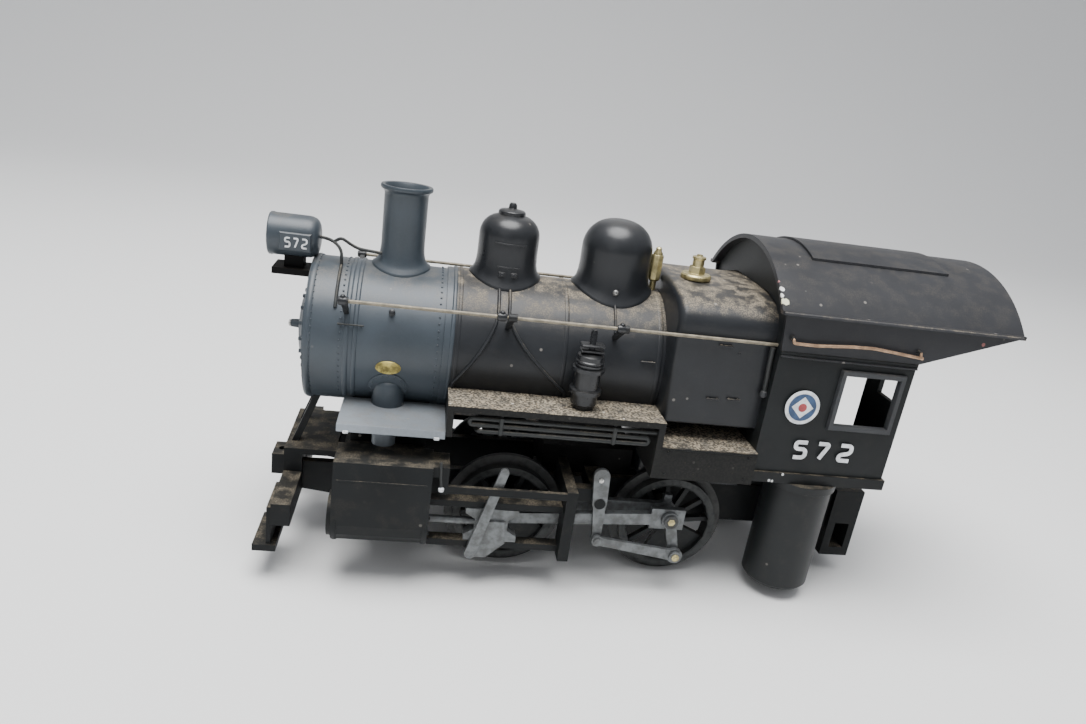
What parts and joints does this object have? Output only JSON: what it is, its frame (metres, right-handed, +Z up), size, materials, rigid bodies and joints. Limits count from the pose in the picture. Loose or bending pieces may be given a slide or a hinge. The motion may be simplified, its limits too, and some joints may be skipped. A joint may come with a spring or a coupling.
{
  "type": "model steam engine",
  "caption": "Model steam locomotive: boiler with domes and stack, open-backed cab, spoked wheels with side and main rods, valve gear, crossheads, hinged smokebox door and running boards.",
  "frame": {"origin": "middle of the engine's length and width, at the bottom of the wheel flanges", "axes": "front of the engine faces -X, its left-hand side is -Y, +Z up"},
  "size_m": [0.2856, 0.1022, 0.1447],
  "materials": {
    "graphite_paint": "satin blue-grey graphite paint",
    "door_paint": "satin graphite paint",
    "boiler_black": "satin black with dust",
    "cab_black": "satin black",
    "roof_black": "satin black with chips",
    "chassis_black": "satin black",
    "cylinder_black": "satin black",
    "saddle_black": "satin black",
    "tank_black": "satin black",
    "running_board_grit": "black with a pebbled, dusty top",
    "plate_silver": "bare worn metal",
    "wheel_grey": "dark blackened metal with bright rim",
    "rod_steel": "dull grey steel",
    "axle_steel": "plain steel",
    "motor_steel": "zinc plated steel",
    "rail_wire": "dull brass wire",
    "brass": "aged brass",
    "lens_glass": "clear lens"
  },
  "bodies": {
    "engine": {"front_spacer": "cylinder_black", "rear_spacer": "cylinder_black", "motor_case": "motor_steel", "pilot_beam": "chassis_black", "front_coupler": "chassis_black", "front_deck": "chassis_black", "smokebox": "graphite_paint", "boiler": "boiler_black", "firebox": "boiler_black", "cylinder_saddle": "saddle_black", "smokestack": "graphite_paint", "sand_dome": "boiler_black", "steam_dome": "boiler_black", "whistle": "brass", "safety_valve": "brass", "headlight": "graphite_paint", "headlight_lens": "lens_glass", "headlight_bracket": "chassis_black", "air_pump": "chassis_black", "cab": "cab_black", "cab_floor": "cab_black", "cab_roof": "roof_black", "roof_hatch": "roof_black", "rear_pocket": "chassis_black", "side_frame_left": "chassis_black", "cylinder_block_left": "cylinder_black", "guide_frame_left": "chassis_black", "handrail_left": "rail_wire", "running_board_left": "running_board_grit", "front_plate_left": "plate_silver", "under_cab_tank_left": "tank_black", "side_frame_right": "chassis_black", "cylinder_block_right": "cylinder_black", "guide_frame_right": "chassis_black", "handrail_right": "rail_wire", "running_board_right": "running_board_grit", "front_plate_right": "plate_silver", "under_cab_tank_right": "tank_black"},
    "rear_wheelset": {"rear_axle": "axle_steel", "rear_wheel_left": "wheel_grey", "return_crank_left": "rod_steel", "rear_wheel_right": "wheel_grey", "return_crank_right": "rod_steel"},
    "front_wheelset": {"front_axle": "axle_steel", "front_wheel_left": "wheel_grey", "front_wheel_right": "wheel_grey"},
    "armature_shaft": {"armature": "motor_steel"},
    "door": {"smokebox_door": "door_paint"},
    "side_rod_left": {"side_rod_left": "rod_steel"},
    "main_rod_left": {"main_rod_left": "rod_steel"},
    "eccentric_rod_left": {"eccentric_rod_left": "rod_steel"},
    "crosshead_left": {"crosshead_left": "rod_steel"},
    "combination_lever_left": {"combination_lever_left": "rod_steel"},
    "expansion_link_left": {"expansion_link_left": "rod_steel"},
    "side_rod_right": {"side_rod_right": "rod_steel"},
    "main_rod_right": {"main_rod_right": "rod_steel"},
    "eccentric_rod_right": {"eccentric_rod_right": "rod_steel"},
    "crosshead_right": {"crosshead_right": "rod_steel"},
    "combination_lever_right": {"combination_lever_right": "rod_steel"},
    "expansion_link_right": {"expansion_link_right": "rod_steel"}
  },
  "joints": [
    {"name": "rear_axle_spin", "type": "hinge", "parent": "engine", "child": "rear_wheelset", "pos_m": [0.0241, 0, 0.024], "axis": [0, 1, 0], "continuous": true},
    {"name": "front_axle_spin", "type": "hinge", "parent": "engine", "child": "front_wheelset", "pos_m": [-0.0448, 0, 0.024], "axis": [0, 1, 0], "continuous": true},
    {"name": "armature_spin", "type": "hinge", "parent": "engine", "child": "armature_shaft", "pos_m": [-0.007, 0, 0.0359], "axis": [1, 0, 0], "continuous": true},
    {"name": "door_swing", "type": "hinge", "parent": "engine", "child": "door", "pos_m": [-0.1282, 0.0164, 0.0869], "axis": [0, 0, -1], "range_deg": [0, 100]},
    {"name": "side_rod_pivot_left", "type": "hinge", "parent": "rear_wheelset", "child": "side_rod_left", "pos_m": [0.02092, -0.035, 0.03188], "axis": [0, 1, 0], "continuous": true},
    {"name": "main_rod_pivot_left", "type": "hinge", "parent": "rear_wheelset", "child": "main_rod_left", "pos_m": [0.02092, -0.035, 0.03188], "axis": [0, 1, 0], "continuous": true},
    {"name": "eccentric_rod_pivot_left", "type": "hinge", "parent": "rear_wheelset", "child": "eccentric_rod_left", "pos_m": [0.02442, -0.035, 0.01781], "axis": [0, 1, 0], "continuous": true},
    {"name": "crosshead_slide_left", "type": "slide", "parent": "engine", "child": "crosshead_left", "axis": [1, 0, 0], "range_m": [-0.00535, 0.01164]},
    {"name": "combination_lever_tilt_left", "type": "hinge", "parent": "crosshead_left", "child": "combination_lever_left", "pos_m": [-0.05816, -0.0455, 0.016], "axis": [0, 1, 0], "range_deg": [-23.5, 11.5]},
    {"name": "expansion_link_swing_left", "type": "hinge", "parent": "engine", "child": "expansion_link_left", "pos_m": [-0.0094, -0.04, 0.038], "axis": [0, 1, 0], "range_deg": [-12, 12]},
    {"name": "side_rod_pivot_right", "type": "hinge", "parent": "rear_wheelset", "child": "side_rod_right", "pos_m": [0.03198, 0.035, 0.02718], "axis": [0, 1, 0], "continuous": true},
    {"name": "main_rod_pivot_right", "type": "hinge", "parent": "rear_wheelset", "child": "main_rod_right", "pos_m": [0.03198, 0.035, 0.02718], "axis": [0, 1, 0], "continuous": true},
    {"name": "eccentric_rod_pivot_right", "type": "hinge", "parent": "rear_wheelset", "child": "eccentric_rod_right", "pos_m": [0.01791, 0.035, 0.02368], "axis": [0, 1, 0], "continuous": true},
    {"name": "crosshead_slide_right", "type": "slide", "parent": "engine", "child": "crosshead_right", "axis": [1, 0, 0], "range_m": [-0.01629, 0.0007]},
    {"name": "combination_lever_tilt_right", "type": "hinge", "parent": "crosshead_right", "child": "combination_lever_right", "pos_m": [-0.04722, 0.0455, 0.016], "axis": [0, 1, 0], "range_deg": [-2.5, 32.5]},
    {"name": "expansion_link_swing_right", "type": "hinge", "parent": "engine", "child": "expansion_link_right", "pos_m": [-0.0094, 0.04, 0.038], "axis": [0, 1, 0], "range_deg": [-12, 12]}
  ],
  "couplings": [
    {"joint": "front_axle_spin", "follows": "rear_axle_spin", "ratio": 1},
    {"joint": "armature_spin", "follows": "rear_axle_spin", "ratio": 24},
    {"joint": "side_rod_pivot_left", "follows": "rear_axle_spin", "ratio": -1},
    {"joint": "main_rod_pivot_left", "follows": "rear_axle_spin", "ratio": -1},
    {"joint": "eccentric_rod_pivot_left", "follows": "rear_axle_spin", "ratio": -1},
    {"joint": "combination_lever_tilt_left", "follows": "crosshead_slide_left", "rad_per_m": -33.4},
    {"joint": "side_rod_pivot_right", "follows": "rear_axle_spin", "ratio": -1},
    {"joint": "main_rod_pivot_right", "follows": "rear_axle_spin", "ratio": -1},
    {"joint": "eccentric_rod_pivot_right", "follows": "rear_axle_spin", "ratio": -1},
    {"joint": "combination_lever_tilt_right", "follows": "crosshead_slide_right", "rad_per_m": -33.4}
  ]
}
